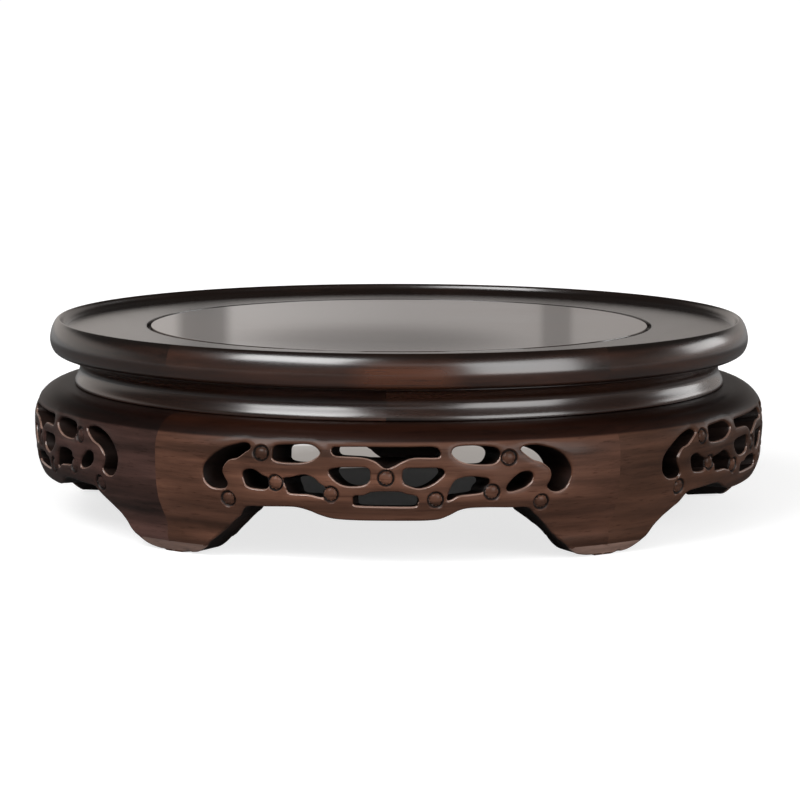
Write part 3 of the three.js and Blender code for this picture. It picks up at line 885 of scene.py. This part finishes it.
key_mesh = bpy.data.meshes.new("key_groove")
mouth, crest = KEY_MOUTH / 2 + GAP, KEY_TOP / 2 + GAP
section = [(-mouth, PANEL_Z - 3), (mouth, PANEL_Z - 3), (mouth, PANEL_Z), (crest, PANEL_Z + KEY_DEPTH + GAP),
           (-crest, PANEL_Z + KEY_DEPTH + GAP), (-mouth, PANEL_Z)]
reach = 1.2 * PANEL_RADIUS
key_points = [(x, y, z) for y in (-reach, reach) for x, z in section]
sides = [(i, (i + 1) % 6, 6 + (i + 1) % 6, 6 + i) for i in range(6)]
key_mesh.from_pydata((np.array(key_points) * MM).tolist(), [],
                     [(5, 4, 3, 2, 1, 0), (6, 7, 8, 9, 10, 11), *sides])
key_mesh.materials.append(panel_wood)
key = bpy.data.objects.new("key_groove", key_mesh)
bpy.context.scene.collection.objects.link(key)
groove = panel.modifiers.new("groove", "BOOLEAN")
groove.operation = "DIFFERENCE"
groove.solver = "EXACT"
groove.object = key
grooved = bpy.data.meshes.new_from_object(panel.evaluated_get(bpy.context.evaluated_depsgraph_get()))
panel.modifiers.clear()
panel.data = grooved
bpy.data.objects.remove(key)
panel.data.polygons.foreach_set("use_smooth", [True] * len(panel.data.polygons))
panel.data.set_sharp_from_angle(angle=math.radians(SHARP))

# Hidden pieces keep their CAD shapes
for name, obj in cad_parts.items():
    if "dowel" in name or "spline" in name or "batten" in name:
        obj.data.materials.clear()
        obj.data.materials.append(inner_wood)

# Camera at the photograph's place
CAMERA_DISTANCE = 1100.1
CAMERA_HEIGHT = 176.8
CAMERA_ANGLE = math.radians(2.08)
CAMERA_PITCH = 0.1277
CAMERA_ROLL = 0.0017
FOCAL_PIXELS = 3346.5
PHOTO_PIXELS = 800
AXIS_PIXEL = 398.9

camera_data = bpy.data.cameras.new("camera")
camera = bpy.data.objects.new("camera", camera_data)
bpy.context.scene.collection.objects.link(camera)
bpy.context.scene.camera = camera
camera_data.sensor_width = 36.0
camera_data.lens = FOCAL_PIXELS / PHOTO_PIXELS * camera_data.sensor_width
camera_data.clip_start = 0.01
camera_data.clip_end = 200
camera.location = polar(CAMERA_DISTANCE, CAMERA_ANGLE, np.array([CAMERA_HEIGHT]))[0] * MM
turn_right = (PHOTO_PIXELS / 2 - AXIS_PIXEL) / FOCAL_PIXELS
camera.rotation_euler = (
    Euler((0, 0, CAMERA_ANGLE - turn_right)).to_matrix()
    @ Euler((math.pi / 2 - CAMERA_PITCH, 0, 0)).to_matrix()
    @ Euler((0, 0, CAMERA_ROLL)).to_matrix()
).to_euler()

# Floor: half its side in metres, its own light near the stand, its grey, and how much darker that is in
# mirrors. The light rises to full between two distances, and to a faint one in mirrors between two more
FLOOR_REACH = 30.0
FLOOR_GLOW = 0.75
FLOOR_GREY = 0.42
MIRROR_DARKER = 0.27
FLOOR_RISE = (0.2, 0.6)
MIRROR_RISE = (0.3, 1.3)
MIRROR_GLOW = 0.3

# Painted shadows on the floor, darker ovals: centre, reach along x and y in metres, softness and darkest
# shade. One lies under the stand, the other behind it with a warm tint
PAINTED_SHADOW_UNDER = (0.042, (0.064, 0.0475), 0.06, 0.02)
PAINTED_SHADOW_BEHIND = (0.115, (0.085, 0.032), 0.15, 0.42)
BEHIND_SHADOW_TINT = (1.0, 0.87, 0.76)

floor_mesh = bpy.data.meshes.new("floor")
floor_mesh.from_pydata([(x, y, 0) for x, y in ((-1, -1), (1, -1), (1, 1), (-1, 1))], [], [(0, 1, 2, 3)])
floor = bpy.data.objects.new("floor", floor_mesh)
floor.scale = (FLOOR_REACH, FLOOR_REACH, 1)
floor.location = (0, 0, -0.0001)
bpy.context.scene.collection.objects.link(floor)
floor_material = bpy.data.materials.new("floor")
floor_material.use_nodes = True
tree = floor_material.node_tree
tree.nodes.remove(tree.nodes["Principled BSDF"])
seen = node(tree, "ShaderNodeLightPath")
where = node(tree, "ShaderNodeTexCoord")
far = node(tree, "ShaderNodeVectorMath", operation="LENGTH")
tree.links.new(where.outputs["Object"], far.inputs[0])
start, full = (d / FLOOR_REACH for d in FLOOR_RISE)
fade = fall(tree, far.outputs["Value"], start, full, FLOOR_GLOW)
diffuse = node(tree, "ShaderNodeBsdfDiffuse")
darker = maths(tree, "MULTIPLY", seen.outputs["Is Glossy Ray"], MIRROR_DARKER)
tree.links.new(maths(tree, "SUBTRACT", FLOOR_GREY, darker), diffuse.inputs["Color"])


def shade_under(centre, reach, soft, darkest):
    """Darkens an oval patch of the floor: centre and reach along x and y in metres."""
    away = node(tree, "ShaderNodeMapping")
    away.inputs["Location"].default_value = (0, -centre / reach[1], 0)
    away.inputs["Scale"].default_value = (FLOOR_REACH / reach[0], FLOOR_REACH / reach[1], 1)
    tree.links.new(where.outputs["Object"], away.inputs["Vector"])
    length = node(tree, "ShaderNodeVectorMath", operation="LENGTH")
    tree.links.new(away.outputs["Vector"], length.inputs[0])
    return fall(tree, length.outputs["Value"], 1 - soft, 1 + soft, darkest)


glow = node(tree, "ShaderNodeEmission")
direct = maths(tree, "MULTIPLY", seen.outputs["Is Camera Ray"], fade)
direct = maths(tree, "MULTIPLY", direct, shade_under(*PAINTED_SHADOW_UNDER))
behind = shade_under(*PAINTED_SHADOW_BEHIND)
direct = maths(tree, "MULTIPLY", direct, behind)
tree.links.new(mix(tree, behind, BEHIND_SHADOW_TINT, (1.0, 1.0, 1.0)), glow.inputs["Color"])
start, full = (d / FLOOR_REACH for d in MIRROR_RISE)
distant = fall(tree, far.outputs["Value"], start, full, 0.0, MIRROR_GLOW)
mirrored = maths(tree, "MULTIPLY", seen.outputs["Is Glossy Ray"], distant)
tree.links.new(maths(tree, "ADD", direct, mirrored), glow.inputs["Strength"])
both = node(tree, "ShaderNodeAddShader")
tree.links.new(diffuse.outputs[0], both.inputs[0])
tree.links.new(glow.outputs[0], both.inputs[1])
tree.links.new(both.outputs[0], tree.nodes["Material Output"].inputs["Surface"])
floor_mesh.materials.append(floor_material)


# Studio light: five soft lamps, a bright backdrop behind and a darker room in front. A lamp: its angle from
# the front and elevation in degrees, distance, width and height in metres, and watts
LAMPS = {
    "left_box": (-36, 41, 1.6, 0.95, 0.6, 18),
    "right_box": (42, 16, 1.6, 1.0, 1.0, 15),
    "side_box": (120, 15, 1.6, 0.7, 0.4, 2.4),
    "strip": (2, 30, 1.7, 2.8, 0.16, 1.2),
    "fill": (0, 38, 1.8, 1.6, 1.6, 14),
}


def soft_box(name, angle, elevation, distance_m, width, height, watts):
    data = bpy.data.lights.new(name, "AREA")
    data.shape = "RECTANGLE"
    data.size, data.size_y = width, height
    data.energy = watts
    light = bpy.data.objects.new(name, data)
    bpy.context.scene.collection.objects.link(light)
    a, e = math.radians(angle), math.radians(elevation)
    place = Vector((math.sin(a) * math.cos(e), -math.cos(a) * math.cos(e), math.sin(e))) * distance_m
    light.location = place
    light.rotation_euler = place.to_track_quat("Z", "Y").to_euler()
    return light


lamps = {name: soft_box(name, *values) for name, values in LAMPS.items()}
lamps["fill"].visible_glossy = False

world = bpy.data.worlds.new("studio")
bpy.context.scene.world = world
world.use_nodes = True
tree = world.node_tree
background = tree.nodes["Background"]
direction = node(tree, "ShaderNodeTexCoord")
split = node(tree, "ShaderNodeSeparateXYZ")
tree.links.new(direction.outputs["Generated"], split.inputs["Vector"])

# Two dark uprights before the backdrop: centre, half width, softness and shade. A soft dark patch: centre
# and reach to the left and upwards, where its edge fades, and its shade
UPRIGHTS = ((-0.0110, 0.003, 0.003, 0.59), (0.0953, 0.0052, 0.0045, 0.41))
PATCH_CENTRE = (0.043, 0.1105)
PATCH_REACH = (0.042, 0.0045)
PATCH_FADE = (0.1, 1.6)
PATCH_SHADE = 0.35

# The backdrop's colour beside and behind the camera, and the dark room's
BACKDROP_SIDE = (0.45, 0.42, 0.40)
ROOM = (0.05, 0.048, 0.046)

# The backdrop low behind the stand, by how far left of straight back a direction points
BACKDROP_RIGHT, BACKDROP_LEFT = -0.07, 0.14
left = maths(tree, "DIVIDE", maths(tree, "MULTIPLY", split.outputs["X"], -1.0),
             maths(tree, "MAXIMUM", split.outputs["Y"], 0.001))
along = maths(tree, "DIVIDE", maths(tree, "SUBTRACT", left, BACKDROP_RIGHT), BACKDROP_LEFT - BACKDROP_RIGHT,
              clamp=True)
drape = ramp(tree, [(0.0, (0.38, 0.35, 0.33)), (0.5, (0.43, 0.405, 0.39)), (0.75, (0.57, 0.54, 0.52)),
                    (1.0, (0.52, 0.48, 0.45))])
tree.links.new(along, drape.inputs["Fac"])


def upright(centre, half, soft, shade):
    """A dark upright standing before the backdrop."""
    away = maths(tree, "ABSOLUTE", maths(tree, "SUBTRACT", left, centre))
    return fall(tree, away, half, half + soft, shade)


uprights = maths(tree, "MULTIPLY", *(upright(*values) for values in UPRIGHTS))
rise = maths(tree, "DIVIDE", split.outputs["Z"], maths(tree, "MAXIMUM", split.outputs["Y"], 0.001))
squares = []
for value, centre, patch_reach in zip((left, rise), PATCH_CENTRE, PATCH_REACH):
    part = maths(tree, "DIVIDE", maths(tree, "SUBTRACT", value, centre), patch_reach)
    squares.append(maths(tree, "MULTIPLY", part, part))
patch_dark = fall(tree, maths(tree, "ADD", *squares), *PATCH_FADE, PATCH_SHADE)
patched = node(tree, "ShaderNodeVectorMath", operation="SCALE")
tree.links.new(drape.outputs["Color"], patched.inputs[0])
tree.links.new(maths(tree, "MULTIPLY", patch_dark, uprights), patched.inputs["Scale"])
ahead = fall(tree, split.outputs["Y"], 0.0, 0.3)
backdrop = mix(tree, ahead, BACKDROP_SIDE, patched.outputs["Vector"])

# The backdrop ends at a height and is weaker towards the camera's side
low = maths(tree, "MULTIPLY", fall(tree, split.outputs["Z"], 0.18, 0.36, 1.0, 0.0),
            fall(tree, split.outputs["Y"], -0.2, 0.4, 0.25))
room = mix(tree, low, ROOM, backdrop)
rays = node(tree, "ShaderNodeLightPath")
tree.links.new(mix(tree, rays.outputs["Is Camera Ray"], room, (1.0, 1.0, 1.0)), background.inputs["Color"])
background.inputs["Strength"].default_value = 1.0

bpy.context.scene.view_settings.view_transform = "Standard"
